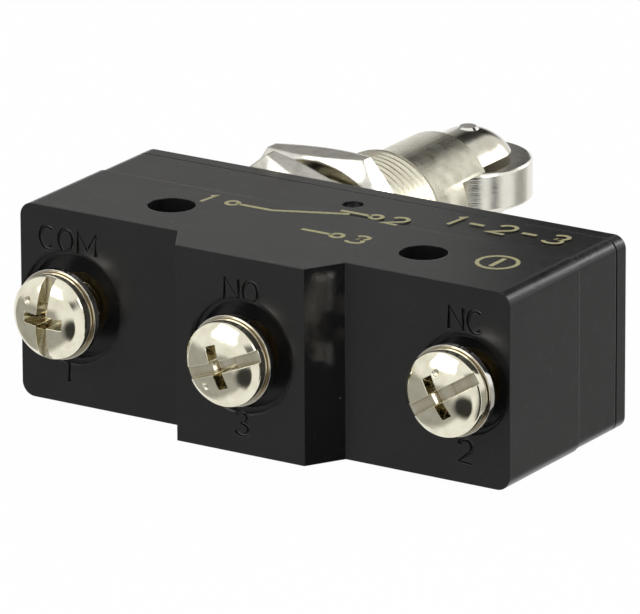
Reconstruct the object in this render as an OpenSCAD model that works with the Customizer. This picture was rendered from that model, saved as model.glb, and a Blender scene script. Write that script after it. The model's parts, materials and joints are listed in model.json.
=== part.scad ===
// Panel-mount roller-plunger snap-action switch with three screw terminals.
// The switch lies on its mounting side face: z = 0 is that face and +Z is the axis of the
// two mounting holes. X runs along the case, from the common terminal to the normally
// closed one, and +Y is the way the plunger points. The origin is midway between the
// mounting holes. All sizes are in millimetres.

/* [Case] */
// Length of the case, along X
case_length = 49.2; // [47.5:0.1:54]
// Thickness of the case, along Z
case_thickness = 17.45; // [17.2:0.05:20]
// How far the middle of the case lies from the middle of the two holes
case_offset = 0.15; // [0:0.05:0.4]
// Distance between the two mounting holes
hole_spacing = 25.4; // [24.8:0.1:25.6]
// Diameter of a mounting hole
hole_diameter = 4.2; // [3.6:0.1:4.4]
// Depth from the mounting holes to the two outer terminal faces
outer_face_depth = 5.75; // [5.4:0.05:7.5]
// How far the middle terminal block stands out from the outer faces
block_step = 3.4; // [2.6:0.1:5]
// Half the width of the terminal block at its face
block_half_width = 6.42; // [6:0.02:6.8]
// How much wider the terminal block is at its root, on each side
block_flare = 1.98; // [1:0.02:2.4]
// Distance from the mounting holes to the mould line round the case
mould_line_height = 5.48; // [4.5:0.02:7]
// How far the walls above the mould line are set in
mould_step = 0.12; // [0.05:0.01:0.25]
// Distance from the mounting holes to the joint between case and cover
joint_height = 11.63; // [11.4:0.01:12.6]
// Radius of the four long edges of the case
edge_radius = 1.25; // [0.6:0.05:1.8]
// Thickness of the side walls of the case
side_wall = 1.6; // [1.3:0.05:1.8]
// Thickness of the wall between the mounting holes and the cavity
floor_wall = 1.7; // [1.4:0.05:1.9]
// Height of the cavity's end walls from the outside
end_wall = 1.35; // [1.2:0.05:1.45]

/* [Cover] */
// Thickness of the cover plate
cover_thickness = 1.63; // [1.4:0.01:2.4]
// How deep the cover's lip reaches into the case
lip_depth = 1.2; // [0.8:0.05:1.3]
// Thickness of the lip
lip_wall = 1.2; // [0.8:0.05:1.3]
// Gap between the lip and the cavity walls
lip_gap = 0.1; // [0.05:0.01:0.15]
// Size of the groove that shows at the joint
joint_groove = 0.2; // [0.1:0.02:0.3]
// Diameter of the pin that locks the cover to the case
cover_pin_diameter = 1.4; // [1:0.05:1.6]
// Distance from the mounting holes to the cover pin
cover_pin_height = 8.7; // [8.5:0.05:9]
// Diameter of the countersink over each end of the cover pin
cover_pin_recess = 1.9; // [1.7:0.05:2.6]
// How deep the ends of the cover pin lie
cover_pin_inset = 0.45; // [0.2:0.05:0.8]

/* [Terminals] */
// Distance of the common terminal's screw from the middle of the two holes
com_screw_offset = 19.25; // [19:0.05:19.4]
// Distance of the normally open terminal's screw from the middle of the two holes
no_screw_offset = 0.3; // [-0.2:0.05:0.5]
// Distance of the normally closed terminal's screw from the middle of the two holes
nc_screw_offset = 20.2; // [19.8:0.05:20.3]
// Radius of the common and normally open terminal recesses
recess_radius = 5; // [4.5:0.05:5]
// Radius of the normally closed terminal recess, close to the end of the case
nc_recess_radius = 4.4; // [4.2:0.05:4.4]
// Depth of the outer ring
recess_ring_depth = 0.45; // [0.2:0.05:0.8]
// Width of the outer ring
recess_ring_width = 0.4; // [0.2:0.05:0.7]
// Depth of a terminal recess
recess_depth = 1.4; // [1:0.05:1.8]
// Thickness of the terminal plates behind the screws
plate_thickness = 1; // [0.8:0.05:1.2]
// Height of the threaded boss that rises from a plate to the floor of its recess
boss_height = 0.8; // [0.4:0.05:0.9]
// Diameter of the threaded boss
boss_diameter = 5.6; // [5.2:0.1:6]
// Thickness of the terminal strips
strip_thickness = 0.8; // [0.6:0.05:0.8]
// Width of the terminal strips, along Z
strip_width = 7; // [6:0.1:7.6]

/* [Terminal screws] */
// Diameter of the screw thread
screw_diameter = 4; // [3.5:0.5:4]
// Diameter of the screw head
head_diameter = 7.5; // [7:0.1:7.8]
// Height of the head's straight side
head_side = 1.3; // [0.8:0.05:1.6]
// Height of the head's crown
head_crown = 1.1; // [0.6:0.05:1.4]
// Length of the screw under its head
screw_length = 8.1; // [7.6:0.1:9]
// Diameter of the washer
washer_diameter = 8; // [7.8:0.1:8.4]
// Width of the driver slot
driver_slot_width = 1.05; // [0.8:0.05:1.2]
// Depth of the driver slot under the top of the crown
driver_slot_depth = 1.5; // [1:0.05:1.8]
// Thickness of the washer
washer_thickness = 0.6; // [0.4:0.05:0.8]
// Angle of the common terminal's driver slot
slot_angle_com = 87; // [0:1:180]
// Angle of the normally open terminal's driver slot
slot_angle_no = 21; // [0:1:180]
// Angle of the normally closed terminal's driver slot
slot_angle_nc = 32; // [0:1:180]
// How far the common terminal's washer stands off its face
standoff_com = 1.75; // [0.4:0.05:2]
// How far the normally open terminal's washer stands off its face
standoff_no = 1.1; // [0.4:0.05:2]
// How far the normally closed terminal's washer stands off its face
standoff_nc = 1.5; // [0.4:0.05:2]

/* [Bushing and nuts] */
// Distance from the middle of the holes to the plunger's axis
plunger_offset = 10.5; // [10.2:0.05:11]
// Diameter of the bushing's thread
thread_diameter = 12; // [11.8:0.1:12]
// Height above the cover that the thread reaches
thread_reach = 18.05; // [16:0.05:19]
// Diameter of the smooth nose
nose_diameter = 10.7; // [10.4:0.05:10.8]
// Height of the smooth nose
nose_height = 8.75; // [8:0.05:9.2]
// Depth of the roller slot in the nose
nose_slot_depth = 4.05; // [3.9:0.05:5.4]
// Diameter of the flange under the cover
flange_diameter = 14; // [13.4:0.1:14.1]
// Thickness of the flange under the cover
flange_thickness = 1.5; // [1.2:0.05:1.6]
// Across flats of both nuts
nut_flats = 17; // [16:0.1:17.2]
// Thickness of a nut
nut_thickness = 3.1; // [2.6:0.05:3.4]
// Gap between the two nuts
panel_gap = 2.55; // [0.5:0.05:3]
// Angle of the nut on the cover
cover_nut_angle = -20; // [-24:1:-16]
// Angle of the outer nut
lock_nut_angle = 2; // [-2:0.5:2]

/* [Plunger and roller] */
// Diameter of the plunger
plunger_diameter = 9.05; // [8.8:0.05:9.2]
// Travel of the plunger, from free to fully pressed
travel = 3.8; // [3:0.05:3.9]
// Distance from the nose's end to the middle of the roller
roller_reach = 4.65; // [4.5:0.05:5]
// Diameter of the roller
roller_diameter = 11.6; // [10.4:0.05:11.7]
// Width of the roller
roller_width = 3.7; // [3:0.05:3.8]
// Rounding of the roller's rim
roller_rounding = 0.35; // [0.2:0.05:0.5]
// Width of the slots for the roller
slot_width = 4.7; // [4.1:0.05:4.8]
// Diameter of the roller pin
roller_pin_diameter = 2; // [1.6:0.05:2.2]
// Diameter of the plunger's stem
stem_diameter = 4.8; // [4.4:0.05:5]
// Diameter of the bore in the stem
stem_bore = 3; // [2.8:0.05:3.2]

/* [Snap mechanism] */
// Thickness of the snap blade
blade_thickness = 0.4; // [0.3:0.02:0.44]
// Width of the snap blade
blade_width = 7; // [6:0.1:7.4]
// Diameter of the contacts
contact_diameter = 4; // [3:0.1:4.2]
// Length of the blade's anchored end, along X
anchor_length = 4; // [3.6:0.1:4.4]
// Distance from the contacts to the leg of the normally closed terminal
contact_reach = 8.8; // [8:0.1:9.4]
// Distance from the plunger's axis to the tip of the blade's tongue
tongue_reach = 5.8; // [5.4:0.1:6.2]
// Room between the tongue's tip and the end of the blade's window
tongue_room = 1.3; // [1.1:0.1:1.6]
// Distance from the contacts to the blade's window
window_reach = 6.5; // [6:0.1:7]
// Turn of the blade, in degrees, from one contact to the other
blade_turn = 2; // [1.6:0.1:2]
// Travel of the press pin
press_travel = 0.24; // [0.16:0.01:0.24]

/* [Springs] */
// Wire diameter of the return spring
return_wire = 0.7; // [0.5:0.05:0.8]
// Mean diameter of the return spring
return_coil = 7; // [6.6:0.1:7.2]
// Turns of the return spring
return_turns = 5; // [4:1:7]
// Wire diameter of the overtravel spring
overtravel_wire = 0.4; // [0.3:0.05:0.45]
// Mean diameter of the overtravel spring
overtravel_coil = 2.3; // [2.2:0.1:2.4]
// Turns of the overtravel spring
overtravel_turns = 12; // [8:1:16]

/* [Hidden] */

$fn = 64;
bite = 0.5;
running_gap = 0.05;
touch_gap = 0.05;

// Case heights and places
mid_z = case_thickness / 2;
left_end = case_offset - case_length / 2;
right_end = case_offset + case_length / 2;
hole_r = hole_diameter / 2;
outer_face = -outer_face_depth;
block_face = outer_face - block_step;
floor_y = hole_r + floor_wall;
cover_top = joint_height + cover_thickness;
cavity_left = left_end + end_wall;
cavity_right = right_end - end_wall;
cavity_half = mid_z - side_wall;

// Terminals
com_x = -com_screw_offset;
no_x = no_screw_offset;
nc_x = nc_screw_offset;
plate_reach = 3.6;
boss_r = boss_diameter / 2;
pocket_gap = 0.05;
shank_r = screw_diameter / 2;
shank_room = 0.3;
leg_edge = 0.1;
com_leg_x = cavity_left + leg_edge;
nc_leg_x = cavity_right - leg_edge;
no_leg_x = no_x + plate_reach - strip_thickness / 2;

// Bushing and plunger stack
axis_x = -plunger_offset;
thread_r = thread_diameter / 2;
nose_r = nose_diameter / 2;
thread_end = cover_top + thread_reach;
nose_end = thread_end + nose_height;
flange_y = joint_height - flange_thickness;
plunger_r = plunger_diameter / 2;
guide_r = plunger_r + running_gap;
stem_r = stem_diameter / 2;
lower_bore_r = 4.2;
shoulder_y = 17;
shoulder_height = 2;
shoulder_top = shoulder_y + shoulder_height;
spring_room = 9;
barrel_y = shoulder_top + spring_room;
stem_end = 15;
ring_seat_gap = 0.05;
ring_thickness = 0.7;
groove_r = 1.9;
ring_r = 3.7;
groove_play = 0.05;
roller_y = nose_end + roller_reach;
roller_r = roller_diameter / 2;
roller_back_gap = 2.6;
plunger_slot_y = roller_y - roller_r - roller_back_gap;
nose_slot_y = nose_end - nose_slot_depth;
pin_r = roller_pin_diameter / 2;
pin_running_gap = 0.04;
pin_chamfer = 0.25;
nut_play = 0.02;
nut_crown = 8.2;

// Snap mechanism heights, from the contacts up
blade_y = 7.1;
blade_top = blade_y + blade_thickness;
contact_r = contact_diameter / 2;
contact_x = nc_leg_x - contact_reach;
blade_left = com_leg_x + 1.5;
anchor_edge = blade_left + anchor_length;
hinge_arm = contact_x + contact_r - anchor_edge;
moving_low = blade_y - 0.6;
moving_high = blade_top + 1.1;
contact_drop = hinge_arm * sin(blade_turn);
no_arm_top = floor_y + strip_thickness;
no_contact_top = moving_low - contact_drop - touch_gap;
nc_contact_low = moving_high + touch_gap;
nc_contact_height = 0.7;
nc_arm_y = nc_contact_low + nc_contact_height;
tongue_tip_x = axis_x + tongue_reach;
tongue_tip_y = blade_y - 1;
post_x = tongue_tip_x - 0.3;
blade_right = contact_x + 2.5;
press_r = stem_bore / 2 - running_gap;
press_top = 20;
press_collar_y = 8.6;
press_collar_height = 1;
press_collar_r = 3;
press_foot_r = 0.8;
spring_bore_end = 31;

// Height of a terminal plate's front, behind its face
function plate_front(face) = face + recess_depth + boss_height;

function sagitta_radius(chord, sag) = (chord * chord / 4 + sag * sag) / (2 * sag);

// Rounded rectangle from squares and true arcs
module rounded_rect(w, h, r) {
    square([w - 2 * r, h], center = true);
    square([w, h - 2 * r], center = true);
    for (i = [-1, 1], j = [-1, 1])
        translate([i * (w / 2 - r), j * (h / 2 - r)]) circle(r = r);
}

// Extrusion of an XZ outline along Y, centred on the plunger plane
module along_y(x, y0, y1) {
    translate([x, y0, mid_z]) rotate([-90, 0, 0]) linear_extrude(height = y1 - y0) children();
}

module rod_y(r, y0, y1, x) {
    along_y(x, y0, y1) circle(r = r);
}

module rod_z(r, z0, z1, x, y) {
    translate([x, y, z0]) cylinder(r = r, h = z1 - z0);
}

// Revolved outline about an axis along Y; the outline's own y is the height along Y
module turned_y(x) {
    translate([x, 0, mid_z]) rotate([-90, 0, 0]) rotate_extrude() children();
}

// Box given by its limits in X and Y, centred on the mid plane and grown by g
module flat_box(x0, x1, y0, y1, width, g = 0) {
    translate([x0 - g, y0 - g, mid_z - width / 2 - g])
        cube([x1 - x0 + 2 * g, y1 - y0 + 2 * g, width + 2 * g]);
}

module case_shell(y0, y1, inset) {
    along_y(case_offset, y0, y1)
        rounded_rect(case_length - 2 * inset, case_thickness - 2 * inset, edge_radius - inset);
}

// Stepped round recess in a terminal face, with room for the screw behind its plate
module terminal_recess(x, face, radius) {
    plate_back = plate_front(face) + plate_thickness;
    rod_y(radius, face - bite, face + recess_ring_depth, x);
    rod_y(radius - recess_ring_width, face, face + recess_depth, x);
    rod_y(shank_r + shank_room, plate_back - bite, face + screw_length - bite, x);
}

// Boss that carries the screw's thread, from the floor of the recess to the plate
module terminal_boss(x, face, g = 0) {
    rod_y(boss_r + g, face + recess_depth, plate_front(face) + plate_thickness / 2, x);
}

// Bent strips: the plate behind the screw, the leg and the arms inside the case
module com_strips(g = 0) {
    plate_y = plate_front(outer_face);
    terminal_boss(com_x, outer_face, g);
    flat_box(com_leg_x, com_x + plate_reach, plate_y, plate_y + plate_thickness, strip_width, g);
    flat_box(com_leg_x, com_leg_x + strip_thickness, plate_y, blade_y, strip_width, g);
    flat_box(com_leg_x, anchor_edge, blade_y - strip_thickness, blade_y, strip_width, g);
    flat_box(com_leg_x, post_x, floor_y, floor_y + strip_thickness, strip_width, g);
    flat_box(post_x - strip_thickness, post_x, floor_y, tongue_tip_y + bite / 5, strip_width, g);
}

module no_strips(g = 0) {
    plate_y = plate_front(block_face);
    terminal_boss(no_x, block_face, g);
    flat_box(no_x - plate_reach, no_leg_x + strip_thickness, plate_y, plate_y + plate_thickness,
             strip_width, g);
    flat_box(no_leg_x, no_leg_x + strip_thickness, plate_y, no_arm_top, strip_width, g);
    flat_box(no_leg_x, contact_x + contact_r + bite, floor_y, no_arm_top, strip_width, g);
}

module nc_strips(g = 0) {
    plate_y = plate_front(outer_face);
    arm_top = nc_arm_y + strip_thickness;
    terminal_boss(nc_x, outer_face, g);
    flat_box(nc_x - plate_reach, nc_leg_x, plate_y, plate_y + plate_thickness, strip_width, g);
    flat_box(nc_leg_x - strip_thickness, nc_leg_x, plate_y, arm_top, strip_width, g);
    flat_box(contact_x - contact_r - bite, nc_leg_x, nc_arm_y, arm_top, strip_width, g);
}

// Moulded case: rounded walls, terminal block, recesses, holes and the hollow inside
module case() {
    block_root = block_half_width + block_flare;
    color([0.16, 0.16, 0.17]) difference() {
        union() {
            case_shell(outer_face, mould_line_height, 0);
            case_shell(mould_line_height - bite, joint_height, mould_step);
            translate([case_offset, 0, 0]) linear_extrude(height = case_thickness)
                polygon([[-block_half_width, block_face], [block_half_width, block_face],
                         [block_root, outer_face], [block_root, outer_face + bite],
                         [-block_root, outer_face + bite], [-block_root, outer_face]]);
        }
        for (i = [-1, 1])
            rod_z(hole_r, -bite, case_thickness + bite, i * hole_spacing / 2, 0);
        translate([cavity_left, floor_y, mid_z - cavity_half])
            cube([cavity_right - cavity_left, joint_height - floor_y + bite, 2 * cavity_half]);
        terminal_recess(com_x, outer_face, recess_radius);
        terminal_recess(no_x, block_face, recess_radius);
        terminal_recess(nc_x, outer_face, nc_recess_radius);
        com_strips(pocket_gap);
        no_strips(pocket_gap);
        nc_strips(pocket_gap);
        rod_z(cover_pin_diameter / 2, -bite, case_thickness + bite, case_offset,
              cover_pin_height);
        for (z = [-bite, case_thickness - mould_step - cover_pin_inset])
            rod_z(cover_pin_recess / 2, z, z + bite + mould_step + cover_pin_inset, case_offset,
                  cover_pin_height);
    }
}

// Cover plate with a lip and two pinned tongues that reach into the case
module cover() {
    lip_half = cavity_half - lip_gap;
    lip_left = cavity_left + lip_gap;
    lip_right = cavity_right - lip_gap;
    lip_y = joint_height - lip_depth;
    tongue_half = 2.5;
    tongue_y = cover_pin_height - cover_pin_diameter;
    flange_room = 0.2;
    color([0.15, 0.15, 0.16]) difference() {
        union() {
            case_shell(joint_height + joint_groove, cover_top, mould_step);
            case_shell(joint_height, joint_height + joint_groove + bite / 5,
                       mould_step + joint_groove);
            difference() {
                flat_box(lip_left, lip_right, lip_y, joint_height + bite, 2 * lip_half);
                flat_box(lip_left + lip_wall, lip_right - lip_wall, lip_y - bite, joint_height,
                         2 * (lip_half - lip_wall));
            }
            for (z = [mid_z - lip_half, mid_z + lip_half - lip_wall])
                translate([case_offset - tongue_half, tongue_y, z])
                    cube([2 * tongue_half, joint_height - tongue_y + bite, lip_wall]);
        }
        rod_y(thread_r + running_gap, tongue_y, cover_top + bite, axis_x);
        rod_y(flange_diameter / 2 + flange_room, lip_y - bite, joint_height, axis_x);
        nc_strips(lip_gap);
        rod_z(cover_pin_diameter / 2, -bite, case_thickness + bite, case_offset,
              cover_pin_height);
    }
}

module cover_pin() {
    inset = mould_step + cover_pin_inset;
    color([0.8, 0.78, 0.7])
        rod_z(cover_pin_diameter / 2, inset, case_thickness - inset, case_offset,
              cover_pin_height);
}

module terminal_com() {
    color([0.85, 0.72, 0.42]) difference() {
        com_strips();
        rod_y(shank_r, outer_face, -bite, com_x);
    }
}

module terminal_no() {
    color([0.85, 0.72, 0.42]) difference() {
        no_strips();
        rod_y(shank_r, block_face, outer_face, no_x);
    }
}

module terminal_nc() {
    color([0.85, 0.72, 0.42]) difference() {
        nc_strips();
        rod_y(shank_r, outer_face, -bite, nc_x);
    }
}

// Crowned screw with a driver slot; its head lies towards -Y
module terminal_screw(x, seat, turn) {
    head_r = head_diameter / 2;
    crown_r = sagitta_radius(head_diameter, head_crown);
    head_top = head_side + head_crown;
    color([0.8, 0.78, 0.7]) translate([x, seat, mid_z]) rotate([90, 0, 0]) difference() {
        union() {
            translate([0, 0, -screw_length]) cylinder(r = shank_r, h = screw_length);
            intersection() {
                cylinder(r = head_r, h = head_top);
                translate([0, 0, head_top - crown_r]) sphere(r = crown_r);
            }
        }
        rotate([0, 0, turn])
            translate([-head_diameter, -driver_slot_width / 2, head_top - driver_slot_depth])
                cube([2 * head_diameter, driver_slot_width, driver_slot_depth + bite]);
    }
}

// Places of the washers' outer faces, where the heads bear
seat_com = outer_face - standoff_com - washer_thickness;
seat_no = block_face - standoff_no - washer_thickness;
seat_nc = outer_face - standoff_nc - washer_thickness;

module screw_com() { terminal_screw(com_x, seat_com, slot_angle_com); }
module screw_no() { terminal_screw(no_x, seat_no, slot_angle_no); }
module screw_nc() { terminal_screw(nc_x, seat_nc, slot_angle_nc); }

module terminal_washer(x, seat) {
    shank_play = 0.05;
    color([0.78, 0.76, 0.68]) along_y(x, seat, seat + washer_thickness) difference() {
        circle(r = washer_diameter / 2);
        circle(r = shank_r + shank_play);
    }
}

module washer_com() { terminal_washer(com_x, seat_com); }
module washer_no() { terminal_washer(no_x, seat_no); }
module washer_nc() { terminal_washer(nc_x, seat_nc); }

// Turned bushing: flange, threaded barrel, smooth nose with the roller's slot
module bushing() {
    lead = 0.5;
    nose_chamfer = 0.2;
    color([0.83, 0.79, 0.66]) difference() {
        turned_y(axis_x) polygon([
            [lower_bore_r, flange_y], [flange_diameter / 2, flange_y],
            [flange_diameter / 2, joint_height], [thread_r, joint_height],
            [thread_r, thread_end - lead], [nose_r, thread_end],
            [nose_r, nose_end - nose_chamfer], [nose_r - nose_chamfer, nose_end],
            [guide_r, nose_end], [guide_r, shoulder_top],
            [stem_r + running_gap, shoulder_top], [stem_r + running_gap, shoulder_y],
            [lower_bore_r, shoulder_y]]);
        flat_box(axis_x - thread_r, axis_x + thread_r, nose_slot_y, nose_end + bite,
                 slot_width);
    }
}

// Hexagon nut, chamfered on both faces
module hex_nut(y0, angle) {
    crown_slope = tan(30);
    corner = nut_flats / sqrt(3);
    drop = (corner + bite - nut_crown) * crown_slope;
    y1 = y0 + nut_thickness;
    color([0.82, 0.81, 0.78]) intersection() {
        along_y(axis_x, y0, y1) rotate(-angle) difference() {
            circle(r = corner, $fn = 6);
            circle(r = thread_r + nut_play);
        }
        turned_y(axis_x) polygon([[0, y0], [nut_crown, y0], [corner + bite, y0 + drop],
                                  [corner + bite, y1 - drop], [nut_crown, y1], [0, y1]]);
    }
}

module cover_nut() { hex_nut(cover_top, cover_nut_angle); }
module lock_nut() { hex_nut(cover_top + nut_thickness + panel_gap, lock_nut_angle); }

// Round-ended plunger: forked for the roller, with a hollow stem and a ring groove
module plunger() {
    groove_low = shoulder_y - ring_seat_gap - ring_thickness - groove_play;
    groove_high = shoulder_y - ring_seat_gap + groove_play;
    color([0.8, 0.79, 0.72]) difference() {
        turned_y(axis_x) {
            intersection() {
                translate([0, roller_y]) circle(r = plunger_r);
                translate([0, roller_y - bite]) square(2 * plunger_r);
            }
            translate([0, barrel_y]) square([plunger_r, roller_y - barrel_y]);
            translate([0, stem_end]) square([stem_r, barrel_y - stem_end + bite]);
        }
        turned_y(axis_x) translate([groove_r, groove_low])
            square([stem_r, groove_high - groove_low]);
        rod_y(stem_bore / 2, stem_end - bite, spring_bore_end, axis_x);
        flat_box(axis_x - nose_r, axis_x + nose_r, plunger_slot_y, roller_y + 2 * plunger_r,
                 slot_width);
        rod_z(pin_r, -bite, case_thickness + bite, axis_x, roller_y);
    }
}

// Open retaining ring in the stem's groove
module retaining_ring() {
    ring_y = shoulder_y - ring_seat_gap - ring_thickness;
    mouth = 2.8;
    color([0.5, 0.5, 0.52]) along_y(axis_x, ring_y, ring_y + ring_thickness) difference() {
        circle(r = ring_r);
        circle(r = groove_r);
        translate([0, -mouth / 2]) square([2 * ring_r, mouth]);
    }
}

// Steel roller with rounded rims and a running bore
module roller() {
    core_r = roller_r - roller_rounding;
    core_half = roller_width / 2 - roller_rounding;
    bore_r = pin_r + pin_running_gap;
    color([0.78, 0.77, 0.72]) translate([axis_x, roller_y, mid_z]) rotate_extrude($fn = 128) {
        translate([bore_r, -roller_width / 2]) square([core_r - bore_r, roller_width]);
        translate([bore_r, -core_half]) square([roller_r - bore_r, 2 * core_half]);
        for (s = [-1, 1]) translate([core_r, s * core_half]) circle(r = roller_rounding);
    }
}

module roller_pin() {
    half = sqrt(plunger_r * plunger_r - pin_r * pin_r);
    color([0.88, 0.86, 0.78]) translate([axis_x, roller_y, mid_z]) rotate_extrude()
        polygon([[0, -half - pin_chamfer], [pin_r - pin_chamfer, -half - pin_chamfer],
                 [pin_r, -half], [pin_r, half],
                 [pin_r - pin_chamfer, half + pin_chamfer], [0, half + pin_chamfer]]);
}

// Pin that carries the stem's push to the snap blade
module press_pin() {
    foot_y = blade_top + touch_gap;
    color([0.55, 0.12, 0.1]) {
        rod_y(press_foot_r, foot_y, press_collar_y + bite, axis_x);
        rod_y(press_collar_r, press_collar_y, press_collar_y + press_collar_height, axis_x);
        rod_y(press_r, press_collar_y + bite, press_top, axis_x);
    }
}

// Round wire wound along Y as one swept tube
module coil_spring(y0, y1, coil_r, wire_r, turns, sides, steps) {
    count = turns * steps;
    pitch_rise = (y1 - y0 - 2 * wire_r) / count;
    points = [for (i = [0 : count], k = [0 : sides - 1])
        let (a = 360 * i / steps, b = 360 * k / sides, r = coil_r + wire_r * cos(b))
        [r * cos(a), y0 + wire_r + i * pitch_rise + wire_r * sin(b), r * sin(a)]];
    walls = [for (i = [0 : count - 1], k = [0 : sides - 1])
        let (n = (k + 1) % sides)
        [i * sides + k, i * sides + n, (i + 1) * sides + n, (i + 1) * sides + k]];
    first = [for (k = [sides - 1 : -1 : 0]) k];
    last = [for (k = [0 : sides - 1]) count * sides + k];
    translate([axis_x, 0, mid_z]) polyhedron(points = points, faces = concat([first], walls, [last]));
}

module return_spring() {
    color([0.7, 0.7, 0.72])
        coil_spring(shoulder_top, barrel_y, return_coil / 2, return_wire / 2, return_turns, 8, 20);
}

module overtravel_spring() {
    color([0.7, 0.7, 0.72])
        coil_spring(press_top, spring_bore_end, overtravel_coil / 2, overtravel_wire / 2,
                    overtravel_turns, 6, 12);
}

// Leaf spring: two side rails and a bowed tongue pressing back on the rails' tie
module snap_blade() {
    window_left = tongue_tip_x - tongue_room;
    window_right = contact_x - window_reach;
    window_width = 3.2;
    tongue_width = 2.4;
    tongue_sag = 0.6;
    half = blade_thickness / 2;
    root_y = blade_y + half;
    chord = norm([window_right - tongue_tip_x, root_y - tongue_tip_y]);
    lean = atan2(root_y - tongue_tip_y, window_right - tongue_tip_x);
    bow_r = sagitta_radius(chord, tongue_sag);
    rise = bow_r - tongue_sag;
    bow_x = (window_right + tongue_tip_x) / 2 - rise * sin(lean);
    bow_y = (root_y + tongue_tip_y) / 2 + rise * cos(lean);
    color([0.85, 0.6, 0.35]) {
        difference() {
            flat_box(blade_left, blade_right, blade_y, blade_top, blade_width);
            flat_box(window_left, window_right, blade_y - bite, blade_top + bite, window_width);
            rod_y(1.2, blade_y - bite, blade_top + bite, (blade_left + anchor_edge) / 2);
            rod_y(1, blade_y - bite, blade_top + bite, contact_x);
        }
        intersection() {
            translate([bow_x, bow_y, mid_z - tongue_width / 2])
                linear_extrude(height = tongue_width) difference() {
                    circle(r = bow_r + half, $fn = 128);
                    circle(r = bow_r - half, $fn = 128);
                }
            flat_box(tongue_tip_x, window_right + bite / 2, tongue_tip_y - 1, blade_top,
                     blade_width);
        }
    }
}

module blade_rivet() {
    rivet_x = (blade_left + anchor_edge) / 2;
    lift = 0.2;
    head_height = 0.6;
    color([0.8, 0.7, 0.5]) {
        rod_y(1.6, blade_top + lift, blade_top + lift + head_height, rivet_x);
        rod_y(1.1, blade_y, blade_top + lift + head_height / 2, rivet_x);
    }
}

module moving_contact() {
    color([0.85, 0.85, 0.83]) {
        rod_y(contact_r, moving_low, blade_y, contact_x);
        rod_y(1, moving_low + bite / 2, moving_high - bite / 2, contact_x);
        rod_y(contact_r, blade_top, moving_high, contact_x);
    }
}

module contact_no() {
    color([0.85, 0.85, 0.83]) rod_y(contact_r, no_arm_top, no_contact_top, contact_x);
}

module contact_nc() {
    color([0.85, 0.85, 0.83]) rod_y(contact_r, nc_contact_low, nc_arm_y, contact_x);
}

case();
cover();
cover_pin();
terminal_com();
terminal_no();
terminal_nc();
screw_com();
screw_no();
screw_nc();
washer_com();
washer_no();
washer_nc();
bushing();
cover_nut();
lock_nut();
plunger();
retaining_ring();
roller();
roller_pin();
press_pin();
return_spring();
overtravel_spring();
snap_blade();
blade_rivet();
moving_contact();
contact_no();
contact_nc();
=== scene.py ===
"""Looks of a panel-mount roller-plunger switch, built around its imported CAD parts.

All sizes here are in millimetres and are turned into metres by MM. The frame's +Y is the way the plunger
points, +Z is up and the terminal screws look towards -Y.
"""
import json
import math

import bmesh
import bpy
from mathutils import Matrix, Vector


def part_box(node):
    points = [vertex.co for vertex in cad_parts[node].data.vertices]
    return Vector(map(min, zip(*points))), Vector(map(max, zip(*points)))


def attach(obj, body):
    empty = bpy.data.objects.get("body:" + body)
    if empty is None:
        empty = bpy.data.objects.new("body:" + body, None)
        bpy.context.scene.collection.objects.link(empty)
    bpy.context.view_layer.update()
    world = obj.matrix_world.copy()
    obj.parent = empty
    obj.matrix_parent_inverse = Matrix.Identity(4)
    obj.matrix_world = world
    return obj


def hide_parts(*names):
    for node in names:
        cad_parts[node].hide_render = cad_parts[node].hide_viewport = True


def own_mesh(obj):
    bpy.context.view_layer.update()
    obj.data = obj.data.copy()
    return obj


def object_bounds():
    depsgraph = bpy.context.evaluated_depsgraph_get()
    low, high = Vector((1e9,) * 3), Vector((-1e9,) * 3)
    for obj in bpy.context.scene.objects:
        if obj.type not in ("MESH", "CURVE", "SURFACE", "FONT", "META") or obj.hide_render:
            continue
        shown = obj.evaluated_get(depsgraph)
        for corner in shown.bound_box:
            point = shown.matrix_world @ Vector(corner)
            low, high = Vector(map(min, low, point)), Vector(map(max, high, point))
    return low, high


MM = 0.001
FULL_TURN = 2 * math.pi

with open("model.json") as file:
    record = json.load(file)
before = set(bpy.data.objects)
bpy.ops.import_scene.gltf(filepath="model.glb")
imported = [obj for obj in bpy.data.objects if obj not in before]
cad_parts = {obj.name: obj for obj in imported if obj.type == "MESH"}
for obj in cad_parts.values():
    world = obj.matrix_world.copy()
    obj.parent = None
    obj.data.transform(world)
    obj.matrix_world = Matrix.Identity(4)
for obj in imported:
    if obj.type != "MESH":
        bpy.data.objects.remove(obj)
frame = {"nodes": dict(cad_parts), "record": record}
cad_low, cad_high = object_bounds()


def box_mm(node):
    """Lowest and highest corner of a CAD node, in millimetres."""
    low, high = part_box(node)
    return low / MM, high / MM


CASE_LOW, CASE_HIGH = box_mm("case")
COVER_HIGH = box_mm("cover")[1]
BUSHING_LOW, BUSHING_HIGH = box_mm("bushing")
MID_Z = (CASE_LOW.z + CASE_HIGH.z) / 2
TOP_Z = CASE_HIGH.z
AXIS_X = (BUSHING_LOW.x + BUSHING_HIGH.x) / 2
TERMINALS = ("com", "no", "nc")


# Nodes and materials


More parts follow.
